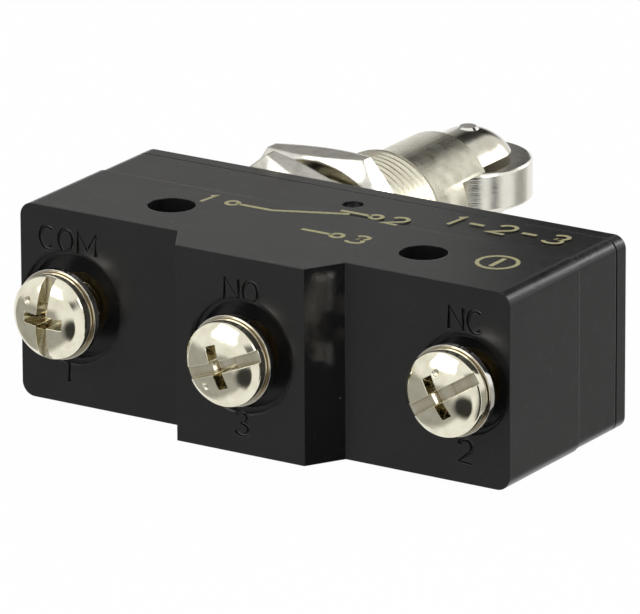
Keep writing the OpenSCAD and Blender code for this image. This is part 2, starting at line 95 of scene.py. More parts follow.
class Shader:
    """A material's node tree around one Principled shader."""

    def __init__(self, name):
        self.material = bpy.data.materials.new(name)
        self.material.use_nodes = True
        self.tree = self.material.node_tree
        self.surface = self.tree.nodes["Principled BSDF"]
        self.place = self.node("ShaderNodeTexCoord").outputs["Object"]

    def node(self, kind, **settings):
        made = self.tree.nodes.new(kind)
        for key, value in settings.items():
            setattr(made, key, value)
        return made

    def feed(self, source, socket):
        """Links a node output to a socket, or writes a plain value to it."""
        if isinstance(source, bpy.types.NodeSocket):
            self.tree.links.new(source, socket)
        else:
            socket.default_value = source

    def mapped(self, scale=(1, 1, 1), turn=(0, 0, 0)):
        """The object's own coordinates in millimetres, stretched and turned."""
        mapping = self.node("ShaderNodeMapping")
        self.feed(self.place, mapping.inputs["Vector"])
        mapping.inputs["Scale"].default_value = [s / MM for s in scale]
        mapping.inputs["Rotation"].default_value = turn
        return mapping.outputs["Vector"]

    def noise(self, scale, detail=3.0, vector=None, roughness=0.5):
        """Noise with `scale` features per millimetre."""
        tex = self.node("ShaderNodeTexNoise")
        self.feed(vector or self.mapped(), tex.inputs["Vector"])
        tex.inputs["Scale"].default_value = scale
        tex.inputs["Detail"].default_value = detail
        tex.inputs["Roughness"].default_value = roughness
        return tex.outputs["Fac"]

    def span(self, value, low, high, to_low, to_high):
        """Maps value from low..high to to_low..to_high, clamped."""
        mapper = self.node("ShaderNodeMapRange")
        self.feed(value, mapper.inputs["Value"])
        mapper.inputs["From Min"].default_value = low
        mapper.inputs["From Max"].default_value = high
        mapper.inputs["To Min"].default_value = to_low
        mapper.inputs["To Max"].default_value = to_high
        return mapper.outputs["Result"]

    def mix(self, factor, first, second):
        """Colour between first and second."""
        mixer = self.node("ShaderNodeMix", data_type="RGBA")
        self.feed(factor, mixer.inputs["Factor"])
        self.feed(first, mixer.inputs["A"])
        self.feed(second, mixer.inputs["B"])
        return mixer.outputs["Result"]

    def math(self, operation, first, second):
        made = self.node("ShaderNodeMath", operation=operation)
        self.feed(first, made.inputs[0])
        self.feed(second, made.inputs[1])
        return made.outputs["Value"]

    def facing(self, direction):
        """Cosine between the surface and a direction."""
        dot = self.node("ShaderNodeVectorMath", operation="DOT_PRODUCT")
        self.feed(self.node("ShaderNodeNewGeometry").outputs["True Normal"], dot.inputs[0])
        dot.inputs[1].default_value = direction
        return dot.outputs["Value"]

    def rounded_edges(self, radius):
        """Normal that rounds hard edges by a radius in millimetres."""
        bevel = self.node("ShaderNodeBevel", samples=6)
        bevel.inputs["Radius"].default_value = radius * MM
        return bevel.outputs["Normal"]

    def bumps(self, layers, edge_radius=0.0):
        """Stacks bumps, each (height, depth in millimetres), over rounded edges."""
        normal = self.rounded_edges(edge_radius) if edge_radius else None
        for height, depth in layers:
            bump = self.node("ShaderNodeBump")
            bump.inputs["Distance"].default_value = depth * MM
            self.feed(height, bump.inputs["Height"])
            if normal:
                self.feed(normal, bump.inputs["Normal"])
            normal = bump.outputs["Normal"]
        self.feed(normal, self.surface.inputs["Normal"])

    def set(self, **values):
        """Sets Principled sockets; an underscore in a name stands for a space."""
        for name, value in values.items():
            self.feed(value, self.surface.inputs[name.replace("_", " ")])


def rgb(red, green, blue):
    return (red, green, blue, 1.0)


# The way the flared wall beside the block faces, and how much smoother it is than the rest
WALL_FACING = (0.865, -0.503, 0.0)
WALL_POLISH = 0.16


def moulded_plastic():
    """Black thermoset: semi-gloss, finely grained, with faint flow marks, dust and hair scratches."""
    s = Shader("moulded_black")
    flow = s.noise(0.12, 3.0)
    grain = s.noise(7.0, 3.0)
    dust = s.node("ShaderNodeTexVoronoi", feature="F1")
    s.feed(s.mapped(), dust.inputs["Vector"])
    dust.inputs["Scale"].default_value = 0.7
    speck_size = s.span(s.noise(0.9, 1.0), 0.52, 0.75, 0.0, 0.07)
    speck = s.math("LESS_THAN", dust.outputs["Distance"], speck_size)
    body = s.mix(s.span(flow, 0.3, 0.7, 0.0, 1.0), rgb(0.0105, 0.0105, 0.011), rgb(0.014, 0.014, 0.0145))
    s.set(Base_Color=s.mix(speck, body, rgb(0.10, 0.10, 0.10)))
    scuffs = s.noise(0.8, 6.0, None, 0.6)
    grained = s.span(scuffs, 0.3, 0.7, 0.2, 0.28)
    polished = s.span(s.facing(WALL_FACING), 0.98, 0.99, 0.0, 1.0)
    s.set(Roughness=s.math("SUBTRACT", grained, s.math("MULTIPLY", polished, WALL_POLISH)))
    s.set(Metallic=0.0, IOR=1.46)
    scratch = s.noise(1.6, 2.0, s.mapped((0.1, 2.6, 0.9), (0.2, 0.3, 0.5)), 0.5)
    s.bumps([(flow, 0.03), (grain, 0.0025), (s.span(scratch, 0.66, 0.72, 0.0, 1.0), 0.004)], 0.1)
    return s.material


def plated_metal(
    name, light, shade, gloss, wave, edge=0.08, turning=None, grain=0.0012, painted_shade_reach=0.8
):
    """Nickel plate with painted shade in its corners and slots, faint waves and, on turned parts, tool
    lines.
    """
    s = Shader(name)
    # Painted shade: ambient occlusion over the given reach blends the colour towards the shade colour in
    # corners, slots and gaps.
    painted_shade_occlusion = s.node("ShaderNodeAmbientOcclusion", samples=8)
    painted_shade_occlusion.inputs["Distance"].default_value = painted_shade_reach * MM
    unshaded_share = s.span(painted_shade_occlusion.outputs["AO"], 0.3, 0.85, 0.0, 1.0)
    tint = s.mix(s.span(s.noise(0.8, 4.0), 0.4, 0.75, 0.0, 0.3), light, shade)
    s.set(Base_Color=s.mix(unshaded_share, shade, tint), Metallic=1.0)
    haze = s.noise(1.0, 3.0)
    s.set(Roughness=s.span(haze, 0.3, 0.75, gloss, gloss * 1.35 + 0.02))
    layers = [(s.noise(0.4, 2.0), wave), (s.noise(6.0, 3.0), grain)]
    if turning:
        stretch, depth = turning
        layers.append((s.noise(1.0, 3.0, s.mapped(stretch), 0.75), depth))
    s.bumps(layers, edge)
    return s.material


def plain_metal(name, light, shade, gloss):
    """Stamped or drawn metal inside the case."""
    s = Shader(name)
    grain = s.noise(1.2, 4.0, s.mapped((1, 1, 0.15)))
    s.set(Base_Color=s.mix(s.span(grain, 0.3, 0.7, 0.0, 1.0), light, shade), Metallic=1.0)
    s.set(Roughness=s.span(grain, 0.3, 0.7, gloss, gloss + 0.12))
    s.bumps([(s.noise(8.0, 2.0), 0.003)], 0.04)
    return s.material


def red_phenolic():
    s = Shader("press_pin_red")
    grain = s.noise(3.0, 4.0)
    s.set(Base_Color=s.mix(grain, rgb(0.16, 0.02, 0.015), rgb(0.24, 0.035, 0.02)), Roughness=0.5)
    s.bumps([(grain, 0.004)], 0.05)
    return s.material


def gold_ink():
    """Pale gold stamping ink, a little uneven and thin at its edges."""
    s = Shader("gold_ink")
    wear = s.noise(3.5, 4.0)
    s.set(Base_Color=s.mix(s.span(wear, 0.4, 0.75, 0.0, 1.0), rgb(0.60, 0.56, 0.31), rgb(0.42, 0.39, 0.21)))
    s.set(Roughness=s.span(wear, 0.3, 0.7, 0.42, 0.6), Metallic=0.0)
    s.bumps([(s.noise(10.0, 2.0), 0.004)])
    return s.material


# The deep nickel colour and the *_SHADE colours are painted shade in corners and recesses, and also the
# darker end of each metal's random tone.
LIGHT_NICKEL = rgb(0.84, 0.82, 0.77)
WARM_NICKEL = rgb(0.80, 0.77, 0.62)
NICKEL_SHADE_AND_MOTTLE = rgb(0.34, 0.27, 0.15)
NUT_NICKEL = rgb(0.72, 0.70, 0.63)
NUT_SHADE = rgb(0.07, 0.055, 0.03)
PLUNGER_NICKEL = rgb(0.60, 0.58, 0.49)
ROLLER_NICKEL = rgb(0.76, 0.74, 0.66)
ROLLER_SHADE = rgb(0.70, 0.68, 0.60)

# Turning lines: how the noise is stretched, and its depth in millimetres
ALONG_BARREL = ((0.2, 5.0, 0.2), 0.004)
ROUND_ROLLER = ((0.1, 0.1, 5.0), 0.022)

MATERIALS = {
    "moulding": moulded_plastic(),
    "screw": plated_metal("screw_nickel", WARM_NICKEL, NICKEL_SHADE_AND_MOTTLE, 0.08, 0.03),
    "nickel_bright": plated_metal("bright_nickel", LIGHT_NICKEL, NICKEL_SHADE_AND_MOTTLE, 0.07, 0.012),
    # Painted shade: the nuts' near-black shade colour, with a 2.2 mm reach, darkens the gap between the two
    # nuts and their inner corners.
    "nut": plated_metal("nut_nickel", NUT_NICKEL, NUT_SHADE, 0.08, 0.03, 0.4, None, 0.002, 2.2),
    "nickel_satin": plated_metal(
        "satin_nickel", WARM_NICKEL, NICKEL_SHADE_AND_MOTTLE, 0.24, 0.006, 0.08, ALONG_BARREL, 0.003
    ),
    "plunger": plated_metal(
        "plunger_nickel", PLUNGER_NICKEL, NICKEL_SHADE_AND_MOTTLE, 0.13, 0.01, 0.08, ALONG_BARREL, 0.003
    ),
    "roller": plated_metal(
        "roller_nickel", ROLLER_NICKEL, ROLLER_SHADE, 0.17, 0.002, 0.08, ROUND_ROLLER
    ),
    # Strip brass is given a near-black colour: painted shade for the terminal strips, which lie in shadow
    # behind the screw heads.
    "strip_brass": plain_metal("strip_brass", rgb(0.10, 0.075, 0.04), rgb(0.04, 0.03, 0.016), 0.35),
    "spring_steel": plain_metal("spring_steel", rgb(0.60, 0.60, 0.62), rgb(0.45, 0.45, 0.47), 0.25),
    "blade_bronze": plain_metal("blade_bronze", rgb(0.80, 0.48, 0.26), rgb(0.66, 0.38, 0.20), 0.22),
    "contact_silver": plain_metal("contact_silver", rgb(0.90, 0.90, 0.88), rgb(0.74, 0.74, 0.72), 0.2),
    "press_pin_plastic": red_phenolic(),
    "ink": gold_ink(),
}


def dress(obj, material):
    """Gives an object one material in all its slots."""
    obj.data.materials.clear()
    obj.data.materials.append(MATERIALS[material])


# Mesh helpers


def new_object(name, bm, smooth_angle=None):
    """Object from a bmesh whose sizes are millimetres in the row frame."""
    mesh = bpy.data.meshes.new(name)
    bmesh.ops.scale(bm, vec=(MM, MM, MM), verts=bm.verts)
    bm.normal_update()
    bm.to_mesh(mesh)
    bm.free()
    obj = bpy.data.objects.new(name, mesh)
    bpy.context.scene.collection.objects.link(obj)
    if smooth_angle is not None:
        mesh.shade_smooth()
        mesh.set_sharp_from_angle(angle=math.radians(smooth_angle))
    return obj


def copy_of(node, name):
    """A welded copy of a CAD node's mesh, which a modifier may then cut."""
    source = frame["nodes"][node]
    bm = bmesh.new()
    bm.from_mesh(source.data)
    bmesh.ops.remove_doubles(bm, verts=bm.verts, dist=0.0005 * MM)
    bmesh.ops.scale(bm, vec=(1 / MM,) * 3, verts=bm.verts)
    return new_object(name, bm)


# Faces larger than this, in square millimetres, are shaded flat
FLAT_AREA = 4.0


def cut(obj, cutters, smooth_angle=28):
    """Subtracts each cutter from obj and deletes it. Large faces and square-on ones are shaded flat."""
    for cutter in cutters:
        modifier = obj.modifiers.new("cut", "BOOLEAN")
        modifier.operation = "DIFFERENCE"
        modifier.solver = "EXACT"
        modifier.use_self = True
        modifier.object = cutter
    made = bpy.data.meshes.new_from_object(obj.evaluated_get(bpy.context.evaluated_depsgraph_get()))
    obj.modifiers.clear()
    obj.data = made
    for cutter in cutters:
        bpy.data.objects.remove(cutter)
    made.shade_smooth()
    made.set_sharp_from_angle(angle=math.radians(smooth_angle))
    flat_area = FLAT_AREA * MM * MM
    for polygon in made.polygons:
        square_on = max(abs(c) for c in polygon.normal) > 0.99999
        polygon.use_smooth = not (square_on or polygon.area > flat_area)


def revolve(bm, profile, sides):
    """Turns a profile of (radius, height) points about local Z. The first and last may be on the axis."""
    rings = []
    for radius, height in profile:
        if radius < 1e-6:
            rings.append([bm.verts.new((0, 0, height))])
        else:
            ring = [
                bm.verts.new((radius * math.cos(a), radius * math.sin(a), height))
                for a in (FULL_TURN * k / sides for k in range(sides))
            ]
            rings.append(ring)
    for low, high in zip(rings, rings[1:]):
        for k in range(sides):
            n = (k + 1) % sides
            corners = [low[k % len(low)], low[n % len(low)], high[n % len(high)], high[k % len(high)]]
            bm.faces.new(list(dict.fromkeys(corners)))
    for ring in (rings[0], rings[-1]):
        if len(ring) > 1:
            bm.faces.new(ring)
    bmesh.ops.recalc_face_normals(bm, faces=bm.faces)


def arc(centre, radii, start, end, count):
    """Points of an elliptical arc, from start to end in degrees."""
    points = []
    for k in range(count + 1):
        a = math.radians(start + (end - start) * k / count)
        points.append((centre[0] + radii[0] * math.cos(a), centre[1] + radii[1] * math.sin(a)))
    return points


def helix_tube(bm, section, pitch, start, end, steps):
    """Sweeps a section of (radius, height) points along a helix about local Z, with closed ends."""
    turns = (end - start) / pitch
    count = int(turns * steps)
    rings = []
    for i in range(count + 1):
        a = FULL_TURN * i / steps
        rise = start + pitch * i / steps
        rings.append([bm.verts.new((r * math.cos(a), r * math.sin(a), rise + h)) for r, h in section])
    for first, second in zip(rings, rings[1:]):
        for k in range(len(section)):
            n = (k + 1) % len(section)
            bm.faces.new((first[k], first[n], second[n], second[k]))
    bm.faces.new(rings[0])
    bm.faces.new(rings[-1])
    bmesh.ops.recalc_face_normals(bm, faces=bm.faces)


TOWARDS_PLUNGER = Matrix.Rotation(-math.pi / 2, 4, "X")
TOWARDS_TERMINALS = Matrix.Rotation(math.pi / 2, 4, "X")


def set_in_place(bm, turn, place):
    """Turns local Z to a frame axis and moves the mesh to its place, in millimetres."""
    bmesh.ops.transform(bm, matrix=Matrix.Translation(place) @ turn, verts=bm.verts)


# Strokes: engraved and printed marks share one set of single-stroke glyphs, one unit high

GLYPHS = {
    "C": [arc((0.36, 0.5), (0.36, 0.5), 48, 312, 14)],
    "O": [arc((0.36, 0.5), (0.36, 0.5), 0, 360, 20)],
    "M": [[(0.0, 0.0), (0.0, 1.0), (0.46, 0.2), (0.92, 1.0), (0.92, 0.0)]],
    "N": [[(0.0, 0.0), (0.0, 1.0), (0.7, 0.06), (0.7, 1.0)], [(0.7, 0.06), (0.7, 0.0)]],
    "1": [[(0.2, 0.86), (0.36, 1.0), (0.36, 0.0)]],
    "2": [arc((0.34, 0.68), (0.33, 0.32), 165, -35, 12) + [(0.0, 0.0), (0.68, 0.0)]],
    "3": [arc((0.34, 0.75), (0.30, 0.25), 155, -90, 10) + arc((0.34, 0.26), (0.35, 0.26), 90, -155, 12)],
}
GLYPH_WIDTH = {"M": 0.92, "N": 0.7}
PLAIN_WIDTH = 0.72


def text_strokes(text, height, gap):
    """Strokes of a word, centred on its middle, in millimetres."""
    widths = [GLYPH_WIDTH.get(c, PLAIN_WIDTH) * height for c in text]
    pen = -(sum(widths) + gap * (len(text) - 1)) / 2
    strokes = []
    for char, width in zip(text, widths):
        for stroke in GLYPHS[char]:
            strokes.append([(pen + x * height, y * height) for x, y in stroke])
        pen += width + gap
    return strokes


def stroke_tubes(strokes, radius, to_frame):
    """One mesh of round-ended tubes along strokes. to_frame takes (u, v) to a point in the row frame."""
    curve = bpy.data.curves.new("stroke", "CURVE")
    curve.dimensions = "3D"
    curve.bevel_depth = radius * MM
    curve.bevel_resolution = 3
    curve.use_fill_caps = True
    for stroke in strokes:
        closed = (Vector(stroke[0]) - Vector(stroke[-1])).length < 1e-4
        points = stroke[:-1] if closed else stroke
        spline = curve.splines.new("POLY")
        spline.points.add(len(points) - 1)
        spline.use_cyclic_u = closed
        for point, uv in zip(spline.points, points):
            point.co = (*(Vector(to_frame(*uv)) * MM), 1.0)
    holder = bpy.data.objects.new("stroke", curve)
    bpy.context.scene.collection.objects.link(holder)
    mesh = bpy.data.meshes.new_from_object(holder.evaluated_get(bpy.context.evaluated_depsgraph_get()))
    bpy.data.objects.remove(holder)
    made = bpy.data.objects.new("engraving", mesh)
    bpy.context.scene.collection.objects.link(made)
    return made


def ribbon(bm, stroke, width, height, closed=False):
    """Flat raised line of a printed mark on the top face."""
    points = [Vector(p) for p in stroke]
    count = len(points)
    sides = []
    for i, point in enumerate(points):
        before = points[(i - 1) % count] if closed or i > 0 else point
        after = points[(i + 1) % count] if closed or i < count - 1 else point
        first = (point - before).normalized() if point != before else (after - point).normalized()
        second = (after - point).normalized() if after != point else first
        along = (first + second).normalized()
        across = Vector((-along.y, along.x))
        stretch = 1 / max(0.5, across.dot(Vector((-first.y, first.x))))
        side = across * width / 2 * stretch
        sides.append((point + side, point - side))
    levels = (TOP_Z - height, TOP_Z + height)
    verts = [[bm.verts.new((p.x, p.y, z)) for z in levels for p in pair] for pair in sides]
    links = list(zip(verts, verts[1:])) + ([(verts[-1], verts[0])] if closed else [])
    for a, b in links:
        for k, n in ((0, 1), (1, 3), (3, 2), (2, 0)):
            bm.faces.new((a[k], a[n], b[n], b[k]))
    if not closed:
        for end in (verts[0], verts[-1]):
            bm.faces.new((end[0], end[1], end[3], end[2]))


# Case: engraved terminal marks, and rounded lips on the recesses

MARK_HEIGHT = 2.0
MARK_GAP = 0.5
MARK_STROKE = 0.2
MARK_SINK = 0.08
WORD_BASE_Z = {"com": 13.65, "no": 13.45, "nc": 13.4}
DIGIT_BASE_Z = {"com": 1.95, "no": 1.7, "nc": 1.9}
MARK_X = {"com": -19.54, "no": 0.32, "nc": 20.45}
MARKS = {"com": ("COM", "1"), "no": ("NO", "3"), "nc": ("NC", "2")}
STANDOFF = {"com": 1.75, "no": 1.1, "nc": 1.5}
RECESS_R = {"com": 5.0, "no": 5.0, "nc": 4.4}
RING_WIDTH = 0.4
RING_DEPTH = 0.45
LIP_ROUNDING = {"com": 0.15, "no": 0.25, "nc": 0.1}
RING_ROUNDING = 0.15


def terminal_face(terminal):
    """Y of the moulded face round a terminal's screw."""
    return box_mm("washer_" + terminal)[1].y + STANDOFF[terminal]


def engraving(terminal):
    """Cutters for a terminal's word above its screw and the number below."""
    word, digit = MARKS[terminal]
    depth_y = terminal_face(terminal) + MARK_SINK
    cutters = []
    for text, base in ((word, WORD_BASE_Z[terminal]), (digit, DIGIT_BASE_Z[terminal])):

        def on_face(u, v):
            return MARK_X[terminal] + u, depth_y, base + v

        cutters.append(stroke_tubes(text_strokes(text, MARK_HEIGHT, MARK_GAP), MARK_STROKE, on_face))
    return cutters


def lip_cutter(terminal, radius, depth, rounding):
    """Rounds the edge of a recess whose radius and depth behind the terminal face are given."""
    screw_low, screw_high = box_mm("screw_" + terminal)
    place = Vector(((screw_low.x + screw_high.x) / 2, terminal_face(terminal), MID_Z))
    profile = [(0.0, depth - rounding), (radius + rounding, depth - rounding)]
    for k in range(7):
        a = math.radians(15 * k)
        profile.append((radius + rounding * (1 - math.sin(a)), depth + rounding * (1 - math.cos(a))))
    profile.append((0.0, depth + rounding))
    bm = bmesh.new()
    revolve(bm, profile, 96)
    set_in_place(bm, TOWARDS_PLUNGER, place)
    return new_object("lip", bm)


def make_case():
    case = copy_of("case", "case_moulding")
    cutters = [cutter for terminal in TERMINALS for cutter in engraving(terminal)]
    for terminal, radius in RECESS_R.items():
        cutters.append(lip_cutter(terminal, radius, 0.0, LIP_ROUNDING[terminal]))
        cutters.append(lip_cutter(terminal, radius - RING_WIDTH, RING_DEPTH, RING_ROUNDING))
    cut(case, cutters)
    dress(case, "moulding")
    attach(case, "housing")
    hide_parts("case")


# Bushing: the helical thread is cut into a copy of the CAD piece

THREAD_PITCH = 0.75
THREAD_DEPTH = 0.42
THREAD_R = 6.0
THREAD_CLEAR = 0.25
NOSE_HEIGHT = 8.75


def make_bushing():
    barrel = copy_of("bushing", "bushing_threaded")
    clear_r = THREAD_R + THREAD_CLEAR
    half = THREAD_PITCH * 0.44 * (clear_r - THREAD_R + THREAD_DEPTH) / THREAD_DEPTH
    half = min(half, THREAD_PITCH * 0.49)
    flat = THREAD_PITCH * 0.06
    root = THREAD_R - THREAD_DEPTH
    section = [(clear_r, -half), (root, -flat), (root, flat), (clear_r, half)]
    bm = bmesh.new()
    start = COVER_HIGH.y + 0.3
    end = BUSHING_HIGH.y - NOSE_HEIGHT + THREAD_PITCH
    helix_tube(bm, section, THREAD_PITCH, start, end, 72)
    set_in_place(bm, TOWARDS_PLUNGER, Vector((AXIS_X, 0, MID_Z)))
    cut(barrel, [new_object("thread_groove", bm)], 35)
    dress(barrel, "nickel_satin")
    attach(barrel, "housing")
    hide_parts("bushing")


# Terminal screws: domed heads with a driver slot crossed by a tapered recess, and a threaded shank

HEAD_SIDE = 1.3
HEAD_SHOULDER = {"com": 0.5, "no": 0.3, "nc": 0.25}
HEAD_CROWN = 1.1
UNDER_EDGE = 0.12
SHANK_R = 1.98
SHANK_PITCH = 0.7
SHANK_RIDGE = 0.42
SLOT_WIDTH = 1.05
SLOT_DEPTH = 1.5
CROSS_REACH = 2.1
CROSS_FOOT = 0.9
CROSS_DEPTH = 2.1
SLOT_ANGLE = {"com": 86.7, "no": 20.6, "nc": 31.7}
DIMPLE_R = 0.42
DIMPLE_LIFT = 0.24
DIMPLE = {"com": (2.3, 135.0), "no": (2.3, 238.0), "nc": (2.2, 95.0)}


def dome_height(radius, out):
    """Height of the dome at a distance from its axis, over the head's underside."""
    dome_r = (radius * radius + HEAD_CROWN * HEAD_CROWN) / (2 * HEAD_CROWN)
    return HEAD_SIDE + HEAD_CROWN - dome_r + math.sqrt(dome_r * dome_r - out * out)


def head_profile(radius, shoulder):
    """Outline of the head from its underside to the top of its dome."""
    points = [(0.0, 0.0), (radius - UNDER_EDGE, 0.0), (radius, UNDER_EDGE), (radius, HEAD_SIDE - shoulder)]
    points += arc((radius - shoulder, HEAD_SIDE - shoulder), (shoulder, shoulder), 0, 62, 5)[1:]
    steps = 14
    edge = radius - shoulder * 0.62
    for k in range(1, steps + 1):
        r = edge * (1 - k / steps)
        points.append((r, dome_height(radius, r)))
    return points


def slab(bm, half_x, half_y, low, high, low_half_x=None):
    """Box about the local axis, tapered along x if its foot is shorter."""
    foot = half_x if low_half_x is None else low_half_x
    corners = []
    signs = ((-1, -1), (1, -1), (1, 1), (-1, 1))
    for reach, z in ((foot, low), (half_x, high)):
        corners += [bm.verts.new((sx * reach, sy * half_y, z)) for sx, sy in signs]
    for face in ((3, 2, 1, 0), (4, 5, 6, 7), (0, 1, 5, 4), (1, 2, 6, 5), (2, 3, 7, 6), (3, 0, 4, 7)):
        bm.faces.new([corners[i] for i in face])


def make_screw(terminal):
    low, high = box_mm("screw_" + terminal)
    washer_low = box_mm("washer_" + terminal)[0]
    radius = (high.x - low.x) / 2
    place = Vector(((low.x + high.x) / 2, washer_low.y, MID_Z))
    top = HEAD_SIDE + HEAD_CROWN
    above = top + 1
    bm = bmesh.new()
    revolve(bm, head_profile(radius, HEAD_SHOULDER[terminal]), 96)
    set_in_place(bm, TOWARDS_TERMINALS, place)
    head = new_object("screw_head_" + terminal, bm)
    turn = TOWARDS_TERMINALS @ Matrix.Rotation(math.radians(SLOT_ANGLE[terminal]), 4, "Z")
    across = turn @ Matrix.Rotation(math.pi / 2, 4, "Z")
    cutters = []
    bm = bmesh.new()
    slab(bm, radius * 1.5, SLOT_WIDTH / 2, top - SLOT_DEPTH, above)
    set_in_place(bm, turn, place)
    cutters.append(new_object("slot", bm))
    grow = (above - top + CROSS_DEPTH) / CROSS_DEPTH
    for arm_turn in (turn, across):
        bm = bmesh.new()
        reach = CROSS_FOOT + (CROSS_REACH - CROSS_FOOT) * grow
        slab(bm, reach, SLOT_WIDTH * 0.47, top - CROSS_DEPTH, above, CROSS_FOOT)
        set_in_place(bm, arm_turn, place)
        cutters.append(new_object("cross", bm))
    bm = bmesh.new()
    bmesh.ops.create_uvsphere(bm, u_segments=24, v_segments=12, radius=DIMPLE_R)
    out, angle = DIMPLE[terminal]
    height = dome_height(radius, out) + DIMPLE_LIFT
    spot = Vector((out * math.cos(math.radians(angle)), out * math.sin(math.radians(angle)), height))
    set_in_place(bm, TOWARDS_TERMINALS @ Matrix.Translation(spot), place)
    cutters.append(new_object("dimple", bm))
    cut(head, cutters, 30)
    dress(head, "screw")
    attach(head, "housing")
    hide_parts("screw_" + terminal)
    make_shank(terminal, place, high.y)


def make_shank(terminal, place, end_y):
    """Threaded shank: a core with one helical ridge."""
    length = end_y - place.y
    root = SHANK_R - SHANK_RIDGE
    bm = bmesh.new()
    revolve(bm, [(0, -0.2), (root, -0.2), (root, length - 0.3), (root - 0.3, length), (0, length)], 48)
    section = [(root - 0.15, -0.33), (SHANK_R, -0.06), (SHANK_R, 0.06), (root - 0.15, 0.33)]
    helix_tube(bm, section, SHANK_PITCH, 0.5, length - 0.7, 36)
    set_in_place(bm, TOWARDS_PLUNGER, place)
    shank = new_object("screw_shank_" + terminal, bm, 30)
    dress(shank, "screw")
    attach(shank, "housing")


# Printed marks on the top face: a changeover contact drawn with plain terminal numbers, and plain shapes

INK_LIFT = 0.012
INK_LINE = 0.42
THIN_LINE = 0.36
NUMBER_SLANT = 0.12

# The changeover symbol: its three contacts, the size of their rings and of their numbers
NODE_R = 0.55
SYMBOL_SIZE = 2.1
COMMON_X, CONTACT_X = -8.6, 3.4
OPEN_Y, COMMON_Y, CLOSED_Y = 0.2, 3.3, 6.4

# The row of numbers with dashes between, and the ring with a bar
ROW = (("1", 10.2), ("2", 15.0), ("3", 20.2))
ROW_Y, ROW_SIZE = 7.9, 2.4
DASHES_X, DASH_Y, DASH_LENGTH = (11.7, 16.9), 9.1, 1.4
BADGE_X, BADGE_Y, BADGE_R, BADGE_BAR = 19.4, 1.0, 1.75, 1.2


def make_print():
    """Generic print in the places where such a switch carries its print."""
    bm = bmesh.new()

    def line(*points):
        ribbon(bm, points, INK_LINE, INK_LIFT)

    def ring(x, y, r):
        ribbon(bm, arc((x, y), (r, r), 0, 360, 24)[:-1], THIN_LINE, INK_LIFT, True)

    def number(text, x, y, size):
        for stroke in text_strokes(text, size, 0.3):
            ribbon(bm, [(x + u + NUMBER_SLANT * v, y + v) for u, v in stroke], THIN_LINE, INK_LIFT)

    bend_x = COMMON_X + 4.0
    number("1", COMMON_X - 2.6, COMMON_Y - SYMBOL_SIZE / 2, SYMBOL_SIZE)
    ring(COMMON_X, COMMON_Y, NODE_R)
    line((COMMON_X + NODE_R, COMMON_Y), (bend_x, COMMON_Y))
    line((bend_x, COMMON_Y), (CONTACT_X - 1.8, CLOSED_Y - 0.5))
    for y, text in ((CLOSED_Y, "2"), (OPEN_Y, "3")):
        line((CONTACT_X - 3.0, y), (CONTACT_X, y))
        ring(CONTACT_X + NODE_R, y, NODE_R)
        number(text, CONTACT_X + 2.6, y - SYMBOL_SIZE / 2, SYMBOL_SIZE)
    for text, x in ROW:
        number(text, x, ROW_Y, ROW_SIZE)
    for x in DASHES_X:
        line((x, DASH_Y), (x + DASH_LENGTH, DASH_Y))
    ring(BADGE_X, BADGE_Y, BADGE_R)
    line((BADGE_X, BADGE_Y - BADGE_BAR), (BADGE_X, BADGE_Y + BADGE_BAR))
    bmesh.ops.recalc_face_normals(bm, faces=bm.faces)
    marks = new_object("printed_marks", bm)
    dress(marks, "ink")
    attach(marks, "housing")


# Springs: copies of the CAD coils, each given the spring steel finish


def make_springs():
    for node in ("return_spring", "overtravel_spring"):
        spring = copy_of(node, node + "_coil")
        dress(spring, "spring_steel")
        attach(spring, "housing")
        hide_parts(node)
        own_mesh(spring)


# CAD pieces that keep their own shape get the finish of their slot, or their own finish

OWN_FINISH = {"roller": "roller", "plunger": "plunger", "cover_nut": "nut", "lock_nut": "nut"}


def dress_cad_pieces():
    finish = {p["node"]: p["material_slot"] for p in frame["record"]["subparts"]}
    for node, slot in finish.items():
        dress(frame["nodes"][node], OWN_FINISH.get(node, slot))


# Stage. Places, sizes and distances are in millimetres; the floor's side is in metres

FLOOR_SIDE = 6.0
FLOOR_GLOW_SHARE = 0.985
WORLD_LIGHT = 0.35
CARD_DISTANCE = 700.0
STAGE_CENTRE = (0, 8, MID_Z)


def make_floor():
    """White seamless floor. The camera sees it so near to plain white that the shadow hardly shows."""
    bpy.ops.mesh.primitive_plane_add(size=FLOOR_SIDE, location=(0, 0, cad_low.z))
    floor = bpy.context.object
    floor.name = "floor"
    s = Shader("floor_white")
    tree = s.tree
    s.set(Base_Color=rgb(1.0, 1.0, 1.0), Roughness=0.9)
    glow = s.node("ShaderNodeEmission")
    glow.inputs["Color"].default_value = rgb(1, 1, 1)
    path = s.node("ShaderNodeLightPath")
    seen = s.math("MAXIMUM", path.outputs["Is Camera Ray"], path.outputs["Is Glossy Ray"])
    share = s.math("MULTIPLY", seen, FLOOR_GLOW_SHARE)
    blend = s.node("ShaderNodeMixShader")
    tree.links.new(share, blend.inputs["Fac"])
    tree.links.new(s.surface.outputs["BSDF"], blend.inputs[1])
    tree.links.new(glow.outputs["Emission"], blend.inputs[2])
    tree.links.new(blend.outputs["Shader"], tree.nodes["Material Output"].inputs["Surface"])
    floor.data.materials.append(s.material)
    floor.visible_glossy = False


